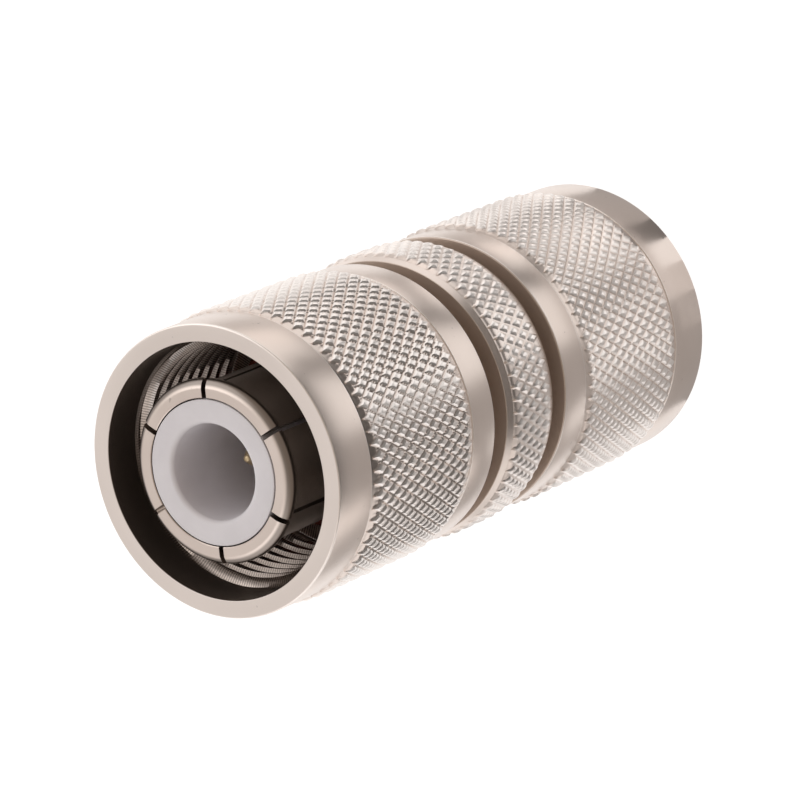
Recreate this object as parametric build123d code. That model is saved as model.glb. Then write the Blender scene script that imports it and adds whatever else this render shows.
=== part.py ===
"""Double-ended coaxial connector: a turned barrel with a screw coupling at each end.

It stands on its lower end, with +Z along its axis. Every half is modelled above the middle plane of the
barrel, then one copy is lifted into place and one is turned over for the lower end. All sizes are in mm.
"""
from build123d import *
import os

os.makedirs("parts", exist_ok=True)

# Lengths along the axis
mouth_to_mouth = 49.7      # from one coupling nut's mouth to the other's
contact_proud = 0.28       # how far the spring contact's tip stands out of the nut's mouth
nut_length = 20.0
front_band_length = 4.4    # smooth band beside the mouth
rear_band_length = 3.25    # smooth band beside the barrel
flange_length = 6.4
upper_land = 1.2           # smooth lands beside the flange's knurl, which lean in towards its faces
lower_land = 0.4
land_lean = 0.2            # how far a land leans in for each millimetre of its length
neck_length = 6.4          # from the flange to the gasket's seat

# Outside of the nuts and the flange, which are flush with each other
nut_wall = 1.35            # from the mouth's bore out to the smooth bands
edge_break = 0.15
knurl_foot = 0.1           # from the smooth bands up to the bottom of the knurls' grooves
knurl_height = 0.2         # from there to the diamonds' tops
knurl_teeth = 72           # diamonds in one turn
knurl_diamond = 1.61       # length of one diamond along the axis

# Inside of the nut
thread_major_radius = 9.525
thread_depth = 0.655       # from the thread's major radius in to its minor one
mouth_room = 0.025         # how much wider than the thread the mouth's smooth bore is
mouth_break = 0.12
mouth_depth = 3.2
thread_relief = 0.1        # how much deeper than the thread its run-out groove is
relief_length = 1.6
rear_wall = 5.05

# Running fit of the nut on the neck, and the snap ring that holds it
neck_radius = 8.05
running_gap = 0.05
nut_float = 0.4            # how far the nut can slide along the neck
ring_thickness = 1.0
ring_grip = 0.7            # how far the ring reaches into each of its two grooves
ring_play = 0.25           # room between the ring and each groove's floor
ring_opening = 3.0
ring_setback = 3.2         # from the flange to the ring
groove_wall = 0.38         # metal between the barrel's ring groove and its seat for the contact's root

# Spring contact
contact_radius = 6.2
contact_bead_radius = 6.86
contact_tip_radius = 6.25
bead_rise = 0.6            # length over which the tip swells to its full radius
bead_land = 0.12
finger_count = 6
finger_slot = 0.4
finger_length = 11.0
root_length = 4.6

# Gasket
gasket_inset = 0.15        # how far its rim keeps inside the neck's
gasket_thickness = 1.5
gasket_edge = 0.3

# Insulators and the centre contact
insulator_radius = 5.4
insulator_play = 0.1       # radial room that lets the fingers close on a mating part
socket_radius = 3.59
socket_depth = 11.5
socket_lead = 0.28
pin_radius = 1.19
pin_setback = 3.8          # from the nut's mouth down to the pin's tip
pin_nose_length = 1.5
pin_nose_radius = 0.45
rod_radius = 1.5
shoulder_radius = 2.2
shoulder_length = 1.5

seat_gap = 0.02            # between pieces that are pressed or stacked together

# Worked out from the sizes above, with the heights measured from the barrel's middle plane
thread_minor_radius = thread_major_radius - thread_depth
mouth_radius = thread_major_radius + mouth_room
band_radius = mouth_radius + nut_wall
groove_radius = band_radius + knurl_foot
knurl_radius = groove_radius + knurl_height
root_radius = neck_radius - ring_grip - ring_play - groove_wall - seat_gap
gasket_radius = neck_radius - gasket_inset
mouth_z = mouth_to_mouth / 2
tip_z = mouth_z + contact_proud
nut_rear_z = mouth_z - nut_length
flange_z = flange_length / 2
seat_z = flange_z + neck_length
ring_z = flange_z + ring_setback
root_z = seat_z - root_length
socket_floor_z = tip_z - socket_depth
pin_tip_z = mouth_z - pin_setback


def turned(*outline):
    """Solid of revolution about the axis, from (radius, height) corners."""
    return revolve(Plane.XZ * make_face(Polyline(*outline, close=True)), Axis.Z)


def annulus(inner, outer, low, high):
    """Plain ring between two radii and two heights."""
    return turned((inner, low), (outer, low), (outer, high), (inner, high))


def knurled(blank, low, high):
    """Gives the plain grip of a turned blank, between two heights, a diamond knurl.

    Two crossing sets of grooves leave rows of pyramids. Along each ring of corners a top and a groove's bottom
    take turns, and the next ring has them the other way round.
    """
    corners = 2 * knurl_teeth
    rows = max(2, round(2 * (high - low) / knurl_diamond))

    def ring(row):
        height = low + (high - low) * row / rows
        radii = [groove_radius if (row + column) % 2 else knurl_radius for column in range(corners)]
        return [Vector(radius, 0, height).rotate(Axis.Z, 360 * i / corners) for i, radius in enumerate(radii)]

    rings = [ring(row) for row in range(rows + 1)]
    facets = []
    for row in range(rows):
        for column in range(corners):
            after = (column + 1) % corners
            a, b = rings[row][column], rings[row][after]
            c, d = rings[row + 1][after], rings[row + 1][column]
            split = ((a, b, c), (a, c, d)) if (row + column) % 2 else ((a, b, d), (b, c, d))
            facets += [Face(Wire.make_polygon(triangle)) for triangle in split]
    ends = [
        Face(Wire.make_polygon(edge), [Wire.make_circle(band_radius, Plane.XY.offset(height))])
        for edge, height in ((rings[0], low), (rings[-1], high))
    ]
    kept = blank.faces().filter_by(lambda face: face.bounding_box().max.X < groove_radius)
    return Solid(Shell(kept + ends + facets))


def body_shell():
    """Barrel: knurled flange in the middle, a grooved neck and a gasket seat at each end."""
    knurl_low = lower_land - flange_z
    knurl_high = flange_z - upper_land
    barrel = turned(
        (0, -seat_z),
        (neck_radius - edge_break, -seat_z),
        (neck_radius, -seat_z + edge_break),
        (neck_radius, -flange_z),
        (band_radius - land_lean * lower_land, -flange_z),
        (band_radius, knurl_low),
        (knurl_radius, knurl_low),
        (knurl_radius, knurl_high),
        (band_radius, knurl_high),
        (band_radius - land_lean * upper_land, flange_z),
        (neck_radius, flange_z),
        (neck_radius, seat_z - edge_break),
        (neck_radius - edge_break, seat_z),
        (0, seat_z),
    )
    barrel -= Cylinder(insulator_radius + seat_gap, 2 * seat_z)
    groove = annulus(
        neck_radius - ring_grip - ring_play,
        band_radius,
        ring_z - running_gap,
        ring_z + ring_thickness + nut_float + running_gap,
    )
    root_seat = annulus(0, root_radius + seat_gap, root_z - seat_gap, seat_z)
    for cut in (groove, root_seat):
        barrel -= cut + Rot(180, 0, 0) * cut
    return knurled(barrel, knurl_low, knurl_high)


def coupling_nut():
    """Coupling nut: knurled grip between two smooth bands, threaded bore and a rear wall that runs on the neck."""
    knurl_low = nut_rear_z + rear_band_length
    knurl_high = mouth_z - front_band_length
    bore_radius = neck_radius + running_gap
    relief_radius = thread_major_radius + thread_relief
    relief_low = nut_rear_z + rear_wall
    thread_low = relief_low + relief_length
    mouth_floor = mouth_z - mouth_depth
    lead = mouth_radius - thread_minor_radius
    nut = turned(
        (bore_radius + edge_break, nut_rear_z),
        (band_radius - edge_break, nut_rear_z),
        (band_radius, nut_rear_z + edge_break),
        (band_radius, knurl_low),
        (knurl_radius, knurl_low),
        (knurl_radius, knurl_high),
        (band_radius, knurl_high),
        (band_radius, mouth_z - edge_break),
        (band_radius - edge_break, mouth_z),
        (mouth_radius + mouth_break, mouth_z),
        (mouth_radius, mouth_z - mouth_break),
        (mouth_radius, mouth_floor),
        (thread_minor_radius, mouth_floor - lead),
        (thread_minor_radius, thread_low),
        (relief_radius, thread_low),
        (relief_radius, relief_low),
        (bore_radius, relief_low),
        (bore_radius, nut_rear_z + edge_break),
    )
    groove = annulus(
        neck_radius,
        neck_radius + ring_grip + ring_play,
        ring_z - running_gap,
        ring_z + ring_thickness + running_gap,
    )
    return knurled(nut - groove, knurl_low, knurl_high)


def snap_ring():
    """Open ring that sits half in the barrel's groove and half in the nut's."""
    ring = annulus(neck_radius - ring_grip, neck_radius + ring_grip, ring_z, ring_z + ring_thickness)
    opening = Box(2 * neck_radius, ring_opening, 2 * ring_thickness, align=(Align.MAX, Align.CENTER, Align.CENTER))
    return ring - Pos(0, 0, ring_z) * opening


def gasket():
    """Sealing ring on the barrel's seat, round the spring contact."""
    top_z = seat_z + gasket_thickness
    return turned(
        (contact_radius + seat_gap, seat_z + seat_gap),
        (gasket_radius, seat_z + seat_gap),
        (gasket_radius, top_z - gasket_edge),
        (gasket_radius - gasket_edge, top_z),
        (contact_radius + seat_gap, top_z),
    )


def outer_contact():
    """Spring contact: a thin sleeve with a swollen tip, slit into fingers, on a thicker root."""
    bore = insulator_radius + insulator_play
    land_z = tip_z - bead_rise - bead_land
    fall = contact_bead_radius - contact_radius
    swell = Spline(
        (contact_tip_radius, tip_z),
        (contact_bead_radius, tip_z - bead_rise),
        tangents=((1, -0.4), (0, -1)),
    )
    rest = Polyline(
        (contact_bead_radius, tip_z - bead_rise),
        (contact_bead_radius, land_z),
        (contact_radius, land_z - fall),
        (contact_radius, seat_z),
        (root_radius, seat_z),
        (root_radius, root_z),
        (bore, root_z),
        (bore, tip_z),
        (contact_tip_radius, tip_z),
    )
    sleeve = revolve(Plane.XZ * make_face(swell + rest), Axis.Z)
    slit = Box(
        contact_bead_radius + finger_slot,
        finger_slot,
        finger_length,
        align=(Align.MIN, Align.CENTER, Align.MAX),
    )
    for slot in PolarLocations(0, finger_count):
        sleeve -= Pos(0, 0, tip_z) * slot * slit
    return sleeve


def insulator():
    """White insulator: a long plug with an open socket at its front, drilled for the centre contact."""
    half_shoulder = shoulder_length / 2 + seat_gap
    wall = make_face(
        Polyline(
            (rod_radius + seat_gap, half_shoulder),
            (shoulder_radius + seat_gap, half_shoulder),
            (shoulder_radius + seat_gap, seat_gap),
            (insulator_radius, seat_gap),
            (insulator_radius, tip_z),
            (socket_radius, tip_z),
            (socket_radius, socket_floor_z),
            (rod_radius + seat_gap, socket_floor_z),
            close=True,
        )
    )
    lip = wall.vertices().sort_by(Axis.Y)[-2:].sort_by(Axis.X)[0]
    return revolve(Plane.XZ * fillet(lip, socket_lead), Axis.Z)


def half_centre_contact():
    """Upper half of the centre contact: shoulder, rod, and a round-nosed pin in the socket."""
    nose_low = pin_tip_z - pin_nose_length
    profile = make_face(
        Polyline(
            (0, 0),
            (shoulder_radius, 0),
            (shoulder_radius, shoulder_length / 2),
            (rod_radius, shoulder_length / 2),
            (rod_radius, socket_floor_z),
            (pin_radius, socket_floor_z),
            (pin_radius, nose_low),
            (pin_nose_radius, pin_tip_z),
            (0, pin_tip_z),
            close=True,
        )
    )
    nose = profile.vertices().sort_by(Axis.Y)[-2:].sort_by(Axis.X)[-1]
    return revolve(Plane.XZ * fillet(nose, pin_nose_radius * 0.8), Axis.Z)


def upright(half):
    """Lifts a piece from the barrel's middle plane to the upper end."""
    return Pos(0, 0, tip_z) * half


def turned_over(half):
    """Turns a piece over for the lower end."""
    return Pos(0, 0, tip_z) * Rot(180, 0, 0) * half


pin_half = half_centre_contact()
pieces = {
    "body_shell": upright(body_shell()),
    "centre_contact": upright(pin_half + Rot(180, 0, 0) * pin_half),
}
paired = {
    "coupling_nut": coupling_nut,
    "snap_ring": snap_ring,
    "gasket": gasket,
    "outer_contact": outer_contact,
    "insulator": insulator,
}
for name, make in paired.items():
    half = make()
    pieces["upper_" + name] = upright(half)
    pieces["lower_" + name] = turned_over(half)

for name, piece in pieces.items():
    solid = piece.solid()
    solid.label = name
    export_step(solid, "parts/" + name + ".step")
    print(name, round(solid.volume, 1))
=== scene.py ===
"""Looks of the double-ended coaxial connector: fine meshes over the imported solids, finishes, floor and light.

Meshes are worked out in millimetres in a frame of one half, with heights measured from the barrel's middle
plane, and are then put into the shared frame in metres.
"""
import math

import bpy
import numpy as np
from mathutils import Matrix, Vector


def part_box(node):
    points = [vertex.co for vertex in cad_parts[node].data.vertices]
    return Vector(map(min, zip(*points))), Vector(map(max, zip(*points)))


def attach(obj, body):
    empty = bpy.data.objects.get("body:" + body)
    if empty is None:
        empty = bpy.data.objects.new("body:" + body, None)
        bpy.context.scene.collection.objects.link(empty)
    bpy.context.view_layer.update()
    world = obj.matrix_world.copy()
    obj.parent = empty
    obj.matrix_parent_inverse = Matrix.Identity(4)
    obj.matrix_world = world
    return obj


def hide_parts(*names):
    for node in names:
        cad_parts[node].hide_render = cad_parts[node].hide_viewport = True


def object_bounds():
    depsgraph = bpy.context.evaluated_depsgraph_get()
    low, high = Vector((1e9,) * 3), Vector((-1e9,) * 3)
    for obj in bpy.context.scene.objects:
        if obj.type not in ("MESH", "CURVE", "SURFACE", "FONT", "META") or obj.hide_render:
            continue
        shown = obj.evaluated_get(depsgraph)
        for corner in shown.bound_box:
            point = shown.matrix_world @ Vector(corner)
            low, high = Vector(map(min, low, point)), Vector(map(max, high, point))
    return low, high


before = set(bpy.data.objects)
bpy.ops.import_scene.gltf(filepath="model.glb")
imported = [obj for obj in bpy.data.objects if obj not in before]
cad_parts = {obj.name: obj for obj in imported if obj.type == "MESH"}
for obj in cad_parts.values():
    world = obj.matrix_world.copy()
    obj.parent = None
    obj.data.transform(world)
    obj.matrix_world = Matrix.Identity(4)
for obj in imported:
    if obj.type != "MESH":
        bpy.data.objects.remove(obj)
cad_low, cad_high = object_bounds()

MM = 0.001
TURN = 2 * math.pi

# Camera, in millimetres and degrees
camera_aim = Vector((-0.307, -0.115, 26.599))
camera_distance = 382.13
camera_azimuth = -69.419
camera_elevation = 52.57
camera_roll = 112.583
camera_lens = 228.75
sensor_width = 36.0
camera_clip = 0.01, 10     # in metres

# Fineness of the meshes
arc_steps = 4              # in each rounded edge
fine_arc_steps = 6         # the same on the insulators and the centre contact
small_columns = 216        # round these two
steps_per_diamond = 8      # round and along a knurl
thread_rows = 7            # for each turn
finger_columns = 28        # round one finger of a spring contact
swell_steps = 8
sharp_angle = 24           # edges sharper than this, in degrees, stay sharp

# Shapes that the solids leave plain, or that were measured in the photograph
edge_round = 0.14          # on the outer edges of the nuts and the barrel's ends
fine_round = 0.06          # on the other turned edges
knurl_teeth = 72
knurl_diamond = 1.61       # length of one diamond along the axis
knurl_foot = 0.1           # from the smooth bands up to the bottom of the grooves
knurl_reach = 0.12         # how far the points of the nuts' knurls run on past the solids' knurls
knurl_step = 0.01          # height between a knurl's last row and the surface beside it
missing_half = 0.49        # what is missing of a diamond at a knurl's end
slope_shares = 0, 0.5, 0.65, 1     # a diamond's side: the way from a groove to the top, in shares,
slope_rises = 0, 0.84, 0.95, 1     # and how high it is there
cut_width = 0.24           # the shallow cut between each nut's knurl and its smooth bands
cut_fall = 0.02            # it falls over this width from the band, and then rises to the knurl
cut_depth = 0.07
cut_round = 0.06
columns = knurl_teeth * steps_per_diamond
thread_pitch = 1.27
thread_minor = 8.87
thread_major = 9.525
thread_crest = thread_pitch / 4
thread_flank = 0.378       # axial length of one flank, at 60 degrees between the flanks
thread_step = 0.02         # from the last row of the thread to its relief

# Sizes of the pieces, as in the solids but for what is said beside them
band_radius = 10.9
flange_top = 2.95          # the flange's two faces, over and under the middle; the solid's top face is at 3.2
flange_bottom = 3.2
upper_land = 0.62          # smooth lands beside the flange's knurl; the solid's upper one is 1.2 wide
lower_land = 0.4
land_lean = 0.33           # how far they lean inwards for each millimetre; the solid's lean by 0.2
land_step = 0.01, 0.03     # inwards and along, from the flange's knurl to the foot of a land
front_band = 4.4
rear_band = 3.25
mouth_radius = 9.55
mouth_depth = 3.2
mouth_row = 0.1            # from the mouth's floor up to the last plain row of its wall
relief_radius = 9.625
relief_length = 1.6
rear_wall = 5.05
rear_row = 1.0             # from the nut's rear face up to the first plain row of its bore
neck_radius = 8.05
running_gap = 0.05
ring_low = 6.4
ring_thickness = 1.0
ring_reach = 0.95
nut_float = 0.4
contact_radius = 6.2
contact_bead_radius = 6.86
contact_tip_radius = 6.25
contact_front = 0.1        # width of the flat front round a contact's tip
contact_edge = 0.02        # and the small fall at its outer edge
contact_chamfer = 0.05     # on its inner edge
bead_rise = 0.6
bead_land = 0.12
bead_foot = 0.6            # plain sleeve kept under the bead's fall
bead_round = 0.5           # where the bead falls to the sleeve
bead_handles = (0.3, -0.1), (0, 0.3)     # of the curve from the tip to the bead
finger_count = 6
finger_slot = 0.4
finger_length = 11.0
root_radius = 6.7
contact_bore = 5.5
insulator_radius = 5.4
insulator_bore = 5.42
socket_radius = 3.59
socket_depth = 11.5
socket_lead = 0.36         # rounding of the socket's lip; the solid's is 0.28
rod_radius = 1.5
pin_radius = 1.19
pin_nose_length = 1.7      # the solid's nose is 1.5 long and 0.45 in radius
pin_nose_radius = 0.22
pin_nose_blend = 2.0       # rounding where the nose starts
pin_nose_round = 0.2       # and at its end
pin_flat = 0.05            # radius of the flat at its end
shoulder_radius = 2.2
shoulder_half = 0.75
shoulder_row = 0.2         # height of a plain row of the shoulder over the middle
seat_gap = 0.02

middle_z = (cad_low[2] + cad_high[2]) / 2 / MM


def heights(node):
    """Lowest and highest point of an upper node, in millimetres over the middle plane."""
    low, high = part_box(node)
    return low.z / MM - middle_z, high.z / MM - middle_z


nut_rear, nut_mouth = heights("upper_coupling_nut")
contact_root, contact_tip = heights("upper_outer_contact")
seat_height = heights("body_shell")[1]
insulator_low, insulator_tip = heights("upper_insulator")
pin_tip = heights("centre_contact")[1]
knurl_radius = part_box("upper_coupling_nut")[1].x / MM


# Outlines: lists of (radius, height) or (radius, height, shape), where a shape gives the radius at each angle

def rounded(*corners, steps=arc_steps):
    """Open outline through (radius, height) corners; a third number rounds that corner by an arc.

    The first and the last corner stay sharp.
    """
    points = []
    for index, corner in enumerate(corners):
        here = np.array(corner[:2], float)
        size = corner[2] if len(corner) > 2 else 0
        if not size:
            points.append(tuple(here))
            continue
        back = np.array(corners[index - 1][:2], float) - here
        ahead = np.array(corners[index + 1][:2], float) - here
        back /= np.linalg.norm(back)
        ahead /= np.linalg.norm(ahead)
        half = math.acos(np.clip(back @ ahead, -1, 1)) / 2
        middle = here + (back + ahead) / np.linalg.norm(back + ahead) * size / math.sin(half)
        start = here + back * size / math.tan(half) - middle
        end = here + ahead * size / math.tan(half) - middle
        sweep = math.pi - 2 * half
        for step in range(steps + 1):
            share = step / steps
            spoke = start * math.sin((1 - share) * sweep) + end * math.sin(share * sweep)
            points.append(tuple(middle + spoke / math.sin(sweep)))
    return points


def tooth(t):
    """One at whole numbers and nought half way between them."""
    return abs(2 * (t - np.floor(t)) - 1)


def knurl_rows(low, high, turn):
    """Rows of a diamond knurl: two crossing sets of grooves leave diamonds with broad, softly rounded tops.

    At the two ends the half diamonds are missing, so that whole ones end it with their points.
    """
    half_diamonds = round(2 * (high - low) / knurl_diamond)
    count = half_diamonds * steps_per_diamond // 2
    foot = band_radius + knurl_foot

    def diamonds(angle, height):
        around = knurl_teeth * (angle + turn) / TURN
        along = (height - low) / (high - low) * half_diamonds / 2
        rise = np.minimum(tooth(around + along), tooth(around - along))
        radius = foot + (knurl_radius - foot) * np.interp(rise, slope_shares, slope_rises)
        for end in (0, half_diamonds / 2):
            off = abs(around + end - np.round(around + end)) + abs(along - end)
            rest = band_radius + land_lean * min(height - low, high - height)
            radius = np.where(off < missing_half, np.minimum(radius, rest), radius)
        return radius

    rows = [(knurl_radius, low + (high - low) * index / count, diamonds) for index in range(count + 1)]
    return [(band_radius, low - knurl_step), *rows, (band_radius, high + knurl_step)]


def thread_rows_down(high, low, lead):
    """Rows of an internal right-hand thread from its chamfered mouth down to its run-out."""
    count = round((high - low) / thread_pitch * thread_rows)
    half_crest = thread_crest / 2

    def helix(angle, height):
        turns = height / thread_pitch - angle / TURN
        off = abs(turns - np.round(turns)) * thread_pitch
        cut = np.interp(off, (half_crest, half_crest + thread_flank), (thread_minor, thread_major))
        return np.maximum(cut, mouth_radius - (high - height)) if high - height < lead else cut

    return [(thread_minor, high + (low - high) * index / count, helix) for index in range(count + 1)]


# Mesh builders

def mesh_object(name, vertices, faces, body, node, lower):
    """Puts a mesh in the shared frame, in place of its solid. The lower end is the upper one turned over."""
    vertices = np.array(vertices, float)
    if lower:
        vertices = vertices * (1, -1, -1)
    vertices = (vertices + (0, 0, middle_z)) * MM
    mesh = bpy.data.meshes.new(name)
    mesh.from_pydata(vertices.tolist(), [], faces)
    mesh.validate()
    piece = bpy.data.objects.new(name, mesh)
    bpy.context.scene.collection.objects.link(piece)
    mesh.shade_smooth()
    mesh.set_sharp_from_angle(angle=math.radians(sharp_angle))
    weighted = piece.modifiers.new("weighted_normals", "WEIGHTED_NORMAL")
    weighted.keep_sharp = True
    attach(piece, body)
    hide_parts(node)
    return piece


def spun_mesh(rows, count, closed=True):
    """Vertices and faces of an outline spun round the axis.

    Cells between two shaped rows are split along their grooves.
    """
    angles = np.arange(count) * TURN / count
    vertices = []
    for row in rows:
        radii = row[2](angles, row[1]) if len(row) > 2 else np.full(count, row[0])
        level = np.full(count, row[1])
        vertices.append(np.column_stack([radii * np.cos(angles), radii * np.sin(angles), level]))
    vertices = np.array(vertices)
    radii = np.linalg.norm(vertices[:, :, :2], axis=2)
    faces = []
    around = np.arange(count)
    after = (around + 1) % count
    last = len(rows) if closed else len(rows) - 1
    for index in range(last):
        above = (index + 1) % len(rows)
        a = index * count + around
        b = index * count + after
        c = above * count + after
        d = above * count + around
        if len(rows[index]) > 2 and len(rows[above]) > 2:
            level = abs(radii[index] - radii[above][after]) < abs(radii[index][after] - radii[above])
            for one, two, three, four, straight in zip(a, b, c, d, level):
                if straight:
                    faces += [(one, two, three), (one, three, four)]
                else:
                    faces += [(one, two, four), (two, three, four)]
        else:
            faces += list(zip(a, b, c, d))
    if not closed:
        faces.append(tuple(range(count - 1, -1, -1)))
        faces.append(tuple((len(rows) - 1) * count + around))
    return vertices.reshape(-1, 3), [tuple(int(i) for i in face) for face in faces]


# Outlines of the pieces

def nut_outline(turn):
    knurl_low = nut_rear + rear_band - knurl_reach
    knurl_high = nut_mouth - front_band + knurl_reach
    bore = neck_radius + running_gap
    cut_floor = band_radius - cut_depth
    relief_low = nut_rear + rear_wall
    thread_low = relief_low + relief_length
    mouth_floor = nut_mouth - mouth_depth
    lead = mouth_radius - thread_minor
    rear = rounded(
        (bore, nut_rear + rear_row),
        (bore, nut_rear, edge_round),
        (band_radius, nut_rear, edge_round),
        (band_radius, knurl_low - cut_width, cut_round),
        (cut_floor, knurl_low - cut_width + cut_fall),
    )
    front = rounded(
        (cut_floor, knurl_high + cut_width - cut_fall),
        (band_radius, knurl_high + cut_width, cut_round),
        (band_radius, nut_mouth, edge_round),
        (mouth_radius, nut_mouth, fine_round),
        (mouth_radius, mouth_floor + mouth_row),
    )
    back = rounded(
        (relief_radius, thread_low - thread_step),
        (relief_radius, relief_low, edge_round),
        (bore, relief_low),
        (bore, ring_low + ring_thickness + running_gap),
        (neck_radius + ring_reach, ring_low + ring_thickness + running_gap),
        (neck_radius + ring_reach, ring_low - running_gap),
        (bore, ring_low - running_gap),
    )
    thread = thread_rows_down(mouth_floor, thread_low, lead)
    return rear + knurl_rows(knurl_low, knurl_high, turn) + front + thread + back


def barrel_outline(turn):
    groove_floor = neck_radius - ring_reach
    groove_low = ring_low - running_gap
    groove_high = ring_low + ring_thickness + nut_float + running_gap
    root_bore = root_radius + seat_gap
    root_floor = contact_root - seat_gap
    knurl_low = lower_land - flange_bottom
    knurl_high = flange_top - upper_land
    step_in, step_along = land_step

    def outside(side, face, land):
        return rounded(
            (band_radius - step_in, side * (face - land + step_along)),
            (band_radius - land * land_lean, side * face, fine_round),
            (neck_radius, side * face, fine_round),
            (neck_radius, side * groove_low),
            (groove_floor, side * groove_low),
            (groove_floor, side * groove_high),
            (neck_radius, side * groove_high),
            (neck_radius, side * seat_height, edge_round),
            (root_bore, side * seat_height),
            (root_bore, side * root_floor),
            (insulator_bore, side * root_floor),
        )

    lower_side = outside(-1, flange_bottom, lower_land)[::-1]
    return lower_side + knurl_rows(knurl_low, knurl_high, turn) + outside(1, flange_top, upper_land)


def insulator_outline():
    rod_bore = rod_radius + seat_gap
    shoulder_bore = shoulder_radius + seat_gap
    half_shoulder = shoulder_half + seat_gap
    return rounded(
        (rod_bore, half_shoulder),
        (shoulder_bore, half_shoulder),
        (shoulder_bore, insulator_low),
        (insulator_radius, insulator_low, fine_round),
        (insulator_radius, insulator_tip, fine_round),
        (socket_radius, insulator_tip, socket_lead),
        (socket_radius, insulator_tip - socket_depth, fine_round),
        (rod_bore, insulator_tip - socket_depth),
        steps=fine_arc_steps,
    )


def centre_outline():
    floor = insulator_tip - socket_depth
    upper = rounded(
        (shoulder_radius, shoulder_row),
        (shoulder_radius, shoulder_half, fine_round),
        (rod_radius, shoulder_half),
        (rod_radius, floor),
        (pin_radius, floor),
        (pin_radius, pin_tip - pin_nose_length, pin_nose_blend),
        (pin_nose_radius, pin_tip, pin_nose_round),
        (pin_flat, pin_tip),
        steps=fine_arc_steps,
    )
    return [(radius, -height) for radius, height in upper[::-1]] + upper


def contact_outline():
    """Outline of a spring contact, with the rows at the foot of its slots and at its tip's inner edge."""
    start = np.array((contact_tip_radius, contact_tip - contact_edge))
    end = np.array((contact_bead_radius, contact_tip - bead_rise))
    first, second = start + bead_handles[0], end + bead_handles[1]
    swell = []
    for share in np.linspace(1, 0, swell_steps + 1):
        rest = 1 - share
        near_tip = rest**3 * start + 3 * rest**2 * share * first
        swell.append(tuple(near_tip + 3 * rest * share**2 * second + share**3 * end))
    land = contact_tip - bead_rise - bead_land
    fall = contact_bead_radius - contact_radius
    slot_floor = contact_tip - finger_length
    outside = rounded(
        (root_radius, contact_root),
        (root_radius, seat_height, fine_round),
        (contact_radius, seat_height, fine_round),
        (contact_radius, slot_floor),
    )
    foot = len(outside) - 1
    outside += rounded(
        (contact_radius, land - fall - bead_foot),
        (contact_radius, land - fall, bead_round),
        (contact_bead_radius, land),
    )
    outside += swell + [(contact_tip_radius - contact_front, contact_tip)]
    inside = [(contact_bore, height) for radius, height in outside[:foot:-1]]
    inside[0] = (contact_bore + contact_chamfer, contact_tip)
    inside[1] = (contact_bore, contact_tip - contact_chamfer)
    inside += [(contact_bore, slot_floor), (contact_bore, contact_root)]
    outline = outside + inside
    return outline, foot, len(outline) - 2


def contact_mesh():
    """Spring contact: the outline is swept finger by finger, and the slots keep parallel walls."""
    outline, foot, peak = contact_outline()
    count = finger_columns + 1
    vertices = []
    for radius, height in outline:
        half = math.pi / finger_count - math.asin(finger_slot / 2 / radius)
        for finger in range(finger_count):
            centre = (finger + 0.5) * TURN / finger_count
            for angle in centre + half * np.linspace(-1, 1, count):
                vertices.append((radius * math.cos(angle), radius * math.sin(angle), height))
    total = finger_count * count
    faces = []

    def at(row, column):
        return (row % len(outline)) * total + column % total

    for row in range(len(outline)):
        slotted = foot <= row < peak
        for column in range(total):
            if slotted and column % count == finger_columns:
                continue
            corner, beside = at(row, column), at(row, column + 1)
            faces.append((corner, beside, at(row + 1, column + 1), at(row + 1, column)))
    for finger in range(finger_count):
        right = finger * count + finger_columns
        left = right + 1
        faces.append((at(foot, right), at(foot, left), at(peak, left), at(peak, right)))
        for step in range((peak - foot) // 2):
            low, high = foot + step, peak - step
            faces.append((at(low, right), at(high, right), at(high - 1, right), at(low + 1, right)))
            faces.append((at(low, left), at(low + 1, left), at(high - 1, left), at(high, left)))
    return vertices, faces


# Colours: a pair is the dark and the light one
bright_nickel = (0.71, 0.615, 0.555), (0.80, 0.70, 0.64)
plain_steel = (0.36, 0.36, 0.37), (0.46, 0.46, 0.47)
pale_gold = (0.66, 0.52, 0.31), (0.74, 0.60, 0.38)
cool_white = (0.71, 0.69, 0.72), (0.76, 0.74, 0.77)
dusty_red = (0.20, 0.035, 0.02), (0.30, 0.07, 0.045)
wear_and_highlight_colour = (0.92, 0.86, 0.82)     # knurl tops rubbed bright, and painted highlight lines along the bands' edges
speck_and_shade_colour = (0.3, 0.26, 0.235)     # dull specks, and painted shade inside the nut and under a contact's tip
gap_shade_colour = (0.58, 0.485, 0.42)     # painted shade: darker brown matt colour on the faces in the gaps beside the flange

# Places of the finishes: a pair is where one starts and where it is whole, in millimetres
worn_tops = band_radius + knurl_foot, knurl_radius - 0.08
# painted shade inside the nut, from just outside its mouth inwards
nut_inside = mouth_radius + 0.06, mouth_radius + 0.005
# faces and neck in the gaps beside the flange, which get painted shade
neck_side = neck_radius + running_gap + 0.03, neck_radius + running_gap + 0.01
neck_high = nut_rear + nut_float + 0.1, nut_rear + nut_float + 0.05     # of what a nut uncovers
gap_low = flange_top - 0.05, flange_top - 0.02
gap_high = nut_rear + 0.08, nut_rear + 0.03
# from here down, tool marks on the thread break the painted shade inside the nut
shade_edge = nut_mouth - mouth_depth + 0.05, nut_mouth - mouth_depth - 0.3
# painted shade on a contact's sleeve, from just under its tip down
sleeve_side = contact_tip - 0.03, contact_tip - 0.14
under_tip = contact_tip - 0.7, contact_tip - 0.9
# thin painted highlight lines, which also stand for wear, along the outer edges of the nuts' bands
wear_and_highlight_width = 0.11
wear_and_highlight_edges = (
    nut_rear + 0.06,
    nut_rear + rear_band - knurl_reach - cut_width,
    nut_mouth - front_band + knurl_reach + cut_width,
    nut_mouth - 0.06,
)

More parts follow.
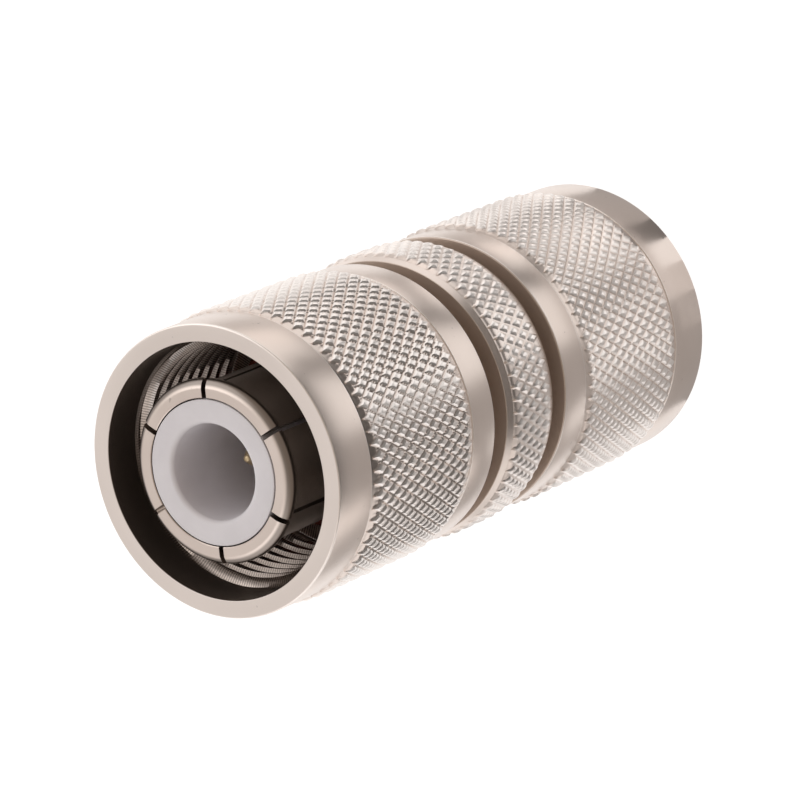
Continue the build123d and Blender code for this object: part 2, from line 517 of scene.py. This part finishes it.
# Grain of the metal: noise scales for each metre, and levels of nought to one
line_scale = 14000
wide_line_scale = 2500
grain_scale = 9000
grain_roughness = 0.6
grain_depth = 0.6          # as a share of the turned lines' depth
cloud_scale = 90
cloud_levels = 0.35, 0.65  # where the dark colour ends and the light one starts
speck_scale = 1400
speck_levels = 0.73, 0.79  # of the noise that leaves small dull specks
speck_strength = 0.6
chatter_marks = 290        # tool marks round a thread
chatter_drift = 3.0        # how far the grain pushes them about
chatter_low = 0.1          # what is left of the bright metal between two of them
shade_matt = 0.3            # how matt the painted shade inside the nut is, beside the faces in the gaps
gap_metallic = 0.62
tip_metallic = 0.78

# The colour sockets of a mix node, which share their names with its other sockets
MIX_FIRST, MIX_SECOND, MIX_COLOUR = 6, 7, 2


class Finish:
    """A node material built step by step."""

    def __init__(self, name):
        self.material = bpy.data.materials.new(name)
        self.material.use_nodes = True
        self.tree = self.material.node_tree
        self.shader = self.tree.nodes["Principled BSDF"]

    def node(self, kind, **values):
        made = self.tree.nodes.new(kind)
        for name, value in values.items():
            setattr(made, name, value)
        return made

    def link(self, source, target):
        self.tree.links.new(source, target)

    def drive(self, **sources):
        """Links sources to the shader's sockets."""
        for name, source in sources.items():
            self.link(source, self.shader.inputs[name.replace("_", " ")])

    def set(self, **values):
        for name, value in values.items():
            self.shader.inputs[name.replace("_", " ")].default_value = value

    def math(self, operation, *inputs):
        made = self.node("ShaderNodeMath", operation=operation)
        for socket, value in zip(made.inputs, inputs):
            if isinstance(value, (int, float)):
                socket.default_value = value
            else:
                self.link(value, socket)
        return made.outputs[0]

    def mean(self, one, other):
        return self.math("ADD", self.math("MULTIPLY", one, 0.5), self.math("MULTIPLY", other, 0.5))

    def parts(self, vector):
        """The three parts of a vector."""
        made = self.node("ShaderNodeSeparateXYZ")
        self.link(vector, made.inputs[0])
        return made.outputs

    def noise(self, vector, scale, detail, roughness=0.5):
        made = self.node("ShaderNodeTexNoise")
        made.inputs["Scale"].default_value = scale
        made.inputs["Detail"].default_value = detail
        made.inputs["Roughness"].default_value = roughness
        self.link(vector, made.inputs["Vector"])
        return made.outputs["Fac"]

    def ramp(self, factor, levels, colours):
        made = self.node("ShaderNodeValToRGB")
        for element, level, colour in zip(made.color_ramp.elements, levels, colours):
            element.position = level
            element.color = (*colour, 1)
        self.link(factor, made.inputs["Fac"])
        return made.outputs["Color"]

    def spread(self, factor, low, high):
        """Maps a factor of nought to one onto a range."""
        made = self.node("ShaderNodeMapRange")
        made.inputs["To Min"].default_value = low
        made.inputs["To Max"].default_value = high
        self.link(factor, made.inputs["Value"])
        return made.outputs["Result"]

    def over(self, value, start, end, smooth=False):
        """Nought up to one value and one past another, whichever of the two is the larger."""
        made = self.node("ShaderNodeMapRange", interpolation_type="SMOOTHSTEP" if smooth else "LINEAR")
        made.inputs["From Min"].default_value = start
        made.inputs["From Max"].default_value = end
        self.link(value, made.inputs["Value"])
        return made.outputs["Result"]

    def place(self):
        return self.node("ShaderNodeTexCoord").outputs["Object"]

    def turned(self):
        """Coordinates that are the same all the way round: radius, nothing, height."""
        x, y, z = self.parts(self.place())
        square = self.math("ADD", self.math("MULTIPLY", x, x), self.math("MULTIPLY", y, y))
        radius = self.math("SQRT", square)
        joined = self.node("ShaderNodeCombineXYZ")
        self.link(radius, joined.inputs[0])
        self.link(z, joined.inputs[2])
        return joined.outputs[0]

    def height(self, rings):
        """How far a point is over or under the middle plane, in metres."""
        return self.math("ABSOLUTE", self.math("SUBTRACT", self.parts(rings)[2], middle_z * MM))

    def by_radius(self, rings, start, end):
        """How far a point's radius is on the way from one value in millimetres to another."""
        return self.over(self.parts(rings)[0], start * MM, end * MM, smooth=True)

    def by_height(self, rings, start, end):
        """The same for its height over or under the middle plane."""
        return self.over(self.height(rings), start * MM, end * MM, smooth=True)

    def wear_and_highlight_lines(self, rings):
        """Thin brighter lines round the axis at the outer edges of the bands: wear and painted highlight."""
        height = self.height(rings)
        lines = None
        for edge in wear_and_highlight_edges:
            off = self.math("ABSOLUTE", self.math("SUBTRACT", height, edge * MM))
            line = self.over(off, wear_and_highlight_width * MM, 0.0)
            lines = self.math("MAXIMUM", lines, line) if lines else line
        return lines

    def chatter(self, place, grain):
        """Short tool marks across a thread, that come round many times in a turn."""
        x, y, _ = self.parts(place)
        angle = self.math("MULTIPLY", self.math("ARCTAN2", y, x), chatter_marks)
        wave = self.math("SINE", self.math("ADD", angle, self.math("MULTIPLY", grain, chatter_drift)))
        return self.spread(self.math("ADD", self.math("MULTIPLY", wave, 0.5), 0.5), chatter_low, 1.0)

    def mixed(self, factor, colour, other):
        made = self.node("ShaderNodeMix", data_type="RGBA")
        self.link(factor, made.inputs["Factor"])
        self.link(colour, made.inputs[MIX_FIRST])
        made.inputs[MIX_SECOND].default_value = (*other, 1)
        return made.outputs[MIX_COLOUR]

    def bump(self, height, distance, under=None):
        made = self.node("ShaderNodeBump")
        made.inputs["Strength"].default_value = 1.0
        made.inputs["Distance"].default_value = distance
        self.link(height, made.inputs["Height"])
        if under:
            self.link(under, made.inputs["Normal"])
        return made.outputs["Normal"]


def painted_shade(finish, colour, place, rings, grain, shade_inside):
    """Painted shade: darkens a metal inside one radius, broken by tool marks on the thread, and gives the faces
    and the neck beside the flange a darker brown matt colour.
    """
    threaded = finish.math("MULTIPLY", finish.by_height(rings, *shade_edge), finish.chatter(place, grain))
    # left: where the painted shade inside the nut stays
    left = finish.math("MULTIPLY", finish.by_radius(rings, *shade_inside), finish.math("SUBTRACT", 1.0, threaded))
    neck = finish.by_radius(rings, *neck_side)
    under_nut = finish.math("MULTIPLY", neck, finish.by_height(rings, *neck_high))
    high = finish.math("MAXIMUM", finish.by_height(rings, *gap_high), under_nut)
    # the faces in the gaps, and the neck that a nut uncovers, for their painted shade
    gap = finish.math("MULTIPLY", finish.by_height(rings, *gap_low), high)
    # painted shade: a darker colour inside the nut, then a darker brown one in the gaps
    colour = finish.mixed(left, colour, speck_and_shade_colour)
    colour = finish.mixed(gap, colour, gap_shade_colour)
    matt = finish.math("MAXIMUM", gap, finish.math("MULTIPLY", left, shade_matt))
    finish.drive(Metallic=finish.spread(matt, 1.0, gap_metallic))
    return colour


def turned_metal(name, colours, roughness, anisotropy, line_depth, wear=None, shade_inside=None, tip=None):
    """Metal off a lathe: fine circular lines, a stretched sheen and slight stains.

    Wear polishes it from one radius out to another, with thin lines along the bands' edges that are both wear
    and painted highlight, and painted shade darkens it from one radius in to another. A tip gives it painted
    shade from one height down to another.
    """
    finish = Finish(name)
    place = finish.place()
    rings = finish.turned()
    lines = finish.noise(rings, line_scale, detail=3)
    wide_lines = finish.noise(rings, wide_line_scale, detail=2)
    grain = finish.noise(place, grain_scale, detail=3, roughness=grain_roughness)
    clouds = finish.noise(place, cloud_scale, detail=4)
    specks = finish.over(finish.noise(place, speck_scale, detail=2), *speck_levels)
    colour = finish.ramp(clouds, cloud_levels, colours)
    colour = finish.mixed(finish.math("MULTIPLY", specks, speck_strength), colour, speck_and_shade_colour)
    if wear:
        # wear on the knurl tops, and thin painted highlight lines at the bands' edges
        wear_and_highlight_mask = finish.math("MAXIMUM", finish.by_radius(rings, *wear), finish.wear_and_highlight_lines(rings))
        colour = finish.mixed(wear_and_highlight_mask, colour, wear_and_highlight_colour)
    if shade_inside:
        colour = painted_shade(finish, colour, place, rings, grain, shade_inside)
    # painted shade on the sleeve under a contact's tip, and less metallic further down
    if tip:
        colour = finish.mixed(finish.by_height(rings, *tip), colour, speck_and_shade_colour)
        finish.drive(Metallic=finish.spread(finish.by_height(rings, *under_tip), 1.0, tip_metallic))
    normal = finish.bump(finish.mean(lines, wide_lines), line_depth)
    tangent = finish.node("ShaderNodeTangent", direction_type="RADIAL", axis="Z")
    finish.drive(
        Base_Color=colour,
        Roughness=finish.spread(finish.mean(clouds, grain), *roughness),
        Normal=finish.bump(grain, line_depth * grain_depth, under=normal),
        Tangent=tangent.outputs[0],
    )
    finish.set(Metallic=1.0, Anisotropic=anisotropy)
    return finish.material


def white_plastic():
    """Machined fluoropolymer: waxy white, slightly cool, with faint turning marks."""
    finish = Finish("white_insulator")
    clouds = finish.noise(finish.place(), 400, detail=3)
    lines = finish.noise(finish.turned(), 9000, detail=2)
    finish.drive(
        Base_Color=finish.ramp(clouds, (0.3, 0.7), cool_white),
        Roughness=finish.spread(clouds, 0.38, 0.52),
        Normal=finish.bump(lines, 0.000004),
    )
    finish.set(Subsurface_Weight=0.25, Subsurface_Scale=0.0012, Subsurface_Radius=(1.0, 1.0, 1.0), IOR=1.38)
    return finish.material


def rubber():
    """Moulded silicone rubber with a dusty bloom."""
    finish = Finish("gasket_rubber")
    place = finish.place()
    bloom = finish.noise(place, 900, detail=4)
    pores = finish.noise(place, 6000, detail=2)
    finish.drive(
        Base_Color=finish.ramp(bloom, (0.35, 0.7), dusty_red),
        Roughness=finish.spread(bloom, 0.5, 0.75),
        Normal=finish.bump(pores, 0.00001),
    )
    return finish.material


nickel = turned_metal("nickel", bright_nickel, (0.24, 0.38), 0.35, 0.000004, wear=worn_tops, shade_inside=nut_inside)
contact_nickel = turned_metal("contact_nickel", bright_nickel, (0.24, 0.36), 0.3, 0.000002, tip=sleeve_side)
steel = turned_metal("spring_steel", plain_steel, (0.3, 0.45), 0.2, 0.000003)
gold = turned_metal("gold", pale_gold, (0.24, 0.34), 0.1, 0.000001)
plastic = white_plastic()
red_rubber = rubber()


# Pieces

def dressed(piece, material):
    piece.data.materials.clear()
    piece.data.materials.append(material)


def add(name, mesh, body, node, material, lower=False):
    vertices, faces = mesh
    dressed(mesh_object(name, vertices, faces, body, node, lower), material)


nut_turns = {"upper": 0.0, "lower": 0.031}     # how far each nut's knurl is turned, in radians
barrel_turn = 0.017
for end, turn in nut_turns.items():
    lower = end == "lower"
    nut = spun_mesh(nut_outline(turn), columns)
    add(end + "_nut_mesh", nut, end + "_nut", end + "_coupling_nut", nickel, lower)
    sleeve = contact_mesh()
    node = end + "_outer_contact"
    add(end + "_contact_mesh", sleeve, "barrel", node, contact_nickel, lower)
    plug = spun_mesh(insulator_outline(), small_columns)
    add(end + "_insulator_mesh", plug, "barrel", end + "_insulator", plastic, lower)
    dressed(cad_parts[end + "_snap_ring"], steel)
    dressed(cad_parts[end + "_gasket"], red_rubber)
add("barrel_mesh", spun_mesh(barrel_outline(barrel_turn), columns), "barrel", "body_shell", nickel)
centre = spun_mesh(centre_outline(), small_columns, closed=False)
add("centre_contact_mesh", centre, "barrel", "centre_contact", gold)


# Floor, light and camera, in metres and degrees

floor_half = 1.5
floor_level = 0.92         # as the light that falls on the object meets it
floor_seen = 0.3           # as the camera and the metal see it, where it also glows
floor_glow = 0.9
card_height = 0.0001
card_steps = 8
card_colour = (1, 0.95, 0.92)


def emitter(name, colour, strength):
    material = bpy.data.materials.new(name)
    material.use_nodes = True
    tree = material.node_tree
    tree.nodes.clear()
    light = tree.nodes.new("ShaderNodeEmission")
    light.inputs["Color"].default_value = (*colour, 1)
    light.inputs["Strength"].default_value = strength
    tree.links.new(light.outputs[0], tree.nodes.new("ShaderNodeOutputMaterial").inputs[0])
    return material


def floor_material():
    """White floor: seen straight on or in the metal it is plain white, and it still takes the shadow."""
    material = bpy.data.materials.new("white_floor")
    material.use_nodes = True
    tree = material.node_tree
    tree.nodes.clear()

    def made(kind, *sources, **values):
        """A node with its first sockets linked to sources."""
        node = tree.nodes.new(kind)
        for name, value in values.items():
            setattr(node, name, value)
        for socket, source in zip(node.inputs, sources):
            tree.links.new(source, socket)
        return node

    def diffuse(level):
        node = made("ShaderNodeBsdfDiffuse")
        node.inputs["Color"].default_value = (level, level, level, 1)
        return node.outputs[0]

    rays = made("ShaderNodeLightPath").outputs
    camera_ray, glossy_ray = rays["Is Camera Ray"], rays["Is Glossy Ray"]
    seen = made("ShaderNodeMath", camera_ray, glossy_ray, operation="MAXIMUM").outputs[0]
    through = made("ShaderNodeMath", seen, rays["Is Transmission Ray"], operation="MAXIMUM").outputs[0]
    plain = made("ShaderNodeEmission")
    plain.inputs["Color"].default_value = (1, 1, 1, 1)
    plain.inputs["Strength"].default_value = floor_glow
    white = made("ShaderNodeAddShader", diffuse(floor_seen), plain.outputs[0]).outputs[0]
    mix = made("ShaderNodeMixShader", through, diffuse(floor_level), white).outputs[0]
    made("ShaderNodeOutputMaterial", mix)
    return material


def staged(name, vertices, faces, material):
    mesh = bpy.data.meshes.new(name)
    mesh.from_pydata(vertices, [], faces)
    mesh.materials.append(material)
    piece = bpy.data.objects.new(name, mesh)
    bpy.context.scene.collection.objects.link(piece)
    return piece


floor_corners = [(x * floor_half, y * floor_half, 0) for x, y in ((-1, -1), (1, -1), (1, 1), (-1, 1))]
staged("floor", floor_corners, [(0, 1, 2, 3)], floor_material())


def card(name, start, end, level, near, far):
    """Sheet on the floor that only the metal sees, as a stripe along the turned bands.

    Its edges start at the wall, at two angles from the camera's side, and run where the wall mirrors the
    camera.
    """
    wall = band_radius * MM
    vertices = []
    for step in range(card_steps + 1):
        angle = math.radians(start + (end - start) * step / card_steps)
        out = math.radians(camera_azimuth) + angle
        away = math.radians(camera_azimuth) + 2 * angle
        for distance in (near, far):
            x = wall * math.cos(out) + distance * math.cos(away)
            y = wall * math.sin(out) + distance * math.sin(away)
            vertices.append((x, y, card_height))
    faces = [(2 * i, 2 * i + 1, 2 * i + 3, 2 * i + 2) for i in range(card_steps)]
    piece = staged(name, vertices, faces, emitter(name, card_colour, level))
    piece.visible_camera = False
    piece.visible_diffuse = False
    piece.visible_shadow = False
    piece.visible_transmission = False


# Name, first and last angle, brightness, and distance of the near and the far edge from the wall
cards = (
    ("dark_card_above", 18.5, 29, 0.22, 0.0, 0.05),
    ("dark_card_front", -33, -6, 0.44, 0.0, 0.05),
    ("dark_card_beyond", -29, 22, 0.04, 0.053, 0.15),
    ("dark_card_far", -33, 23, 0.15, 0.15, 0.5),
    ("low_card_front", -5, 34, 0.72, 0.003, 0.0115),
    ("near_card_front", -20, 7, 0.75, 0.0, 0.0028),
    ("bright_card_above", 37, 47, 1.3, 0.03, 0.06),
    ("grey_card_above", 48, 60, 0.62, 0.03, 0.06),
    ("middle_card_above", 30, 56, 0.5, 0.0185, 0.029),
    ("low_bright_above", 37, 47, 1.35, 0.008, 0.0185),
    ("low_card_above", 48, 64, 0.72, 0.008, 0.0185),
    ("near_card_above", 29, 57, 0.48, 0.0, 0.006),
    ("bright_card_below", -41, -34, 1.25, 0.03, 0.06),
    ("grey_card_below", -60, -42, 0.42, 0.03, 0.06),
    ("middle_card_below", -60, -33, 0.42, 0.0185, 0.029),
    ("low_card_below", -56, -43, 0.52, 0.008, 0.0185),
    ("near_card_below", -56, -33, 0.44, 0.0, 0.006),
)
for row in cards:
    card(*row)


def direction(azimuth, elevation):
    """Unit vector that points to an azimuth and an elevation."""
    turn, tilt = math.radians(azimuth), math.radians(elevation)
    return Vector((math.cos(tilt) * math.cos(turn), math.cos(tilt) * math.sin(turn), math.sin(tilt)))


lamp_target = Vector((0, 0, 0.025))
lamp_size = 1.0


def area_light(name, azimuth, elevation, distance, power):
    data = bpy.data.lights.new(name, "AREA")
    data.shape = "DISK"
    data.size = lamp_size
    data.energy = power
    lamp = bpy.data.objects.new(name, data)
    bpy.context.scene.collection.objects.link(lamp)
    way = direction(azimuth, elevation)
    lamp.location = lamp_target + way * distance
    lamp.rotation_euler = way.to_track_quat("Z", "Y").to_euler()


area_light("key", camera_azimuth + 110, 40, distance=0.9, power=2.0)
area_light("fill", camera_azimuth - 110, 35, distance=1.0, power=1.5)

room_near = 0.35, (0.42, 0.36, 0.31)     # where the room's colours end, and what they are
room_beyond = 0.75, (0.76, 0.73, 0.71)
room_rise = 0.25                         # how much the room brightens upwards


def room():
    """Soft room light: dark on the camera's side and bright on the far side."""
    made = bpy.data.worlds.new("soft_room")
    bpy.context.scene.world = made
    made.use_nodes = True
    tree = made.node_tree
    place = tree.nodes.new("ShaderNodeTexCoord")
    along = tree.nodes.new("ShaderNodeVectorMath")
    along.operation = "DOT_PRODUCT"
    side = math.radians(camera_azimuth)
    along.inputs[1].default_value = (-math.cos(side), -math.sin(side), room_rise)
    spread = tree.nodes.new("ShaderNodeMapRange")
    spread.inputs["From Min"].default_value = -1
    ramp = tree.nodes.new("ShaderNodeValToRGB")
    for element, (position, colour) in zip(ramp.color_ramp.elements, (room_near, room_beyond)):
        element.position = position
        element.color = (*colour, 1)
    tree.links.new(place.outputs["Generated"], along.inputs[0])
    tree.links.new(along.outputs["Value"], spread.inputs["Value"])
    tree.links.new(spread.outputs["Result"], ramp.inputs["Fac"])
    tree.links.new(ramp.outputs[0], tree.nodes["Background"].inputs["Color"])


room()

scene = bpy.context.scene
scene.view_settings.view_transform = "Standard"

camera_data = bpy.data.cameras.new("camera")
camera_data.lens = camera_lens
camera_data.sensor_width = sensor_width
camera_data.clip_start, camera_data.clip_end = camera_clip
camera = bpy.data.objects.new("camera", camera_data)
scene.collection.objects.link(camera)
away = direction(camera_azimuth, camera_elevation)
facing = away.to_track_quat("Z", "Y").to_matrix().to_4x4()
roll = Matrix.Rotation(math.radians(-camera_roll), 4, "Z")
camera.matrix_world = Matrix.Translation((camera_aim + away * camera_distance) * MM) @ facing @ roll
scene.camera = camera
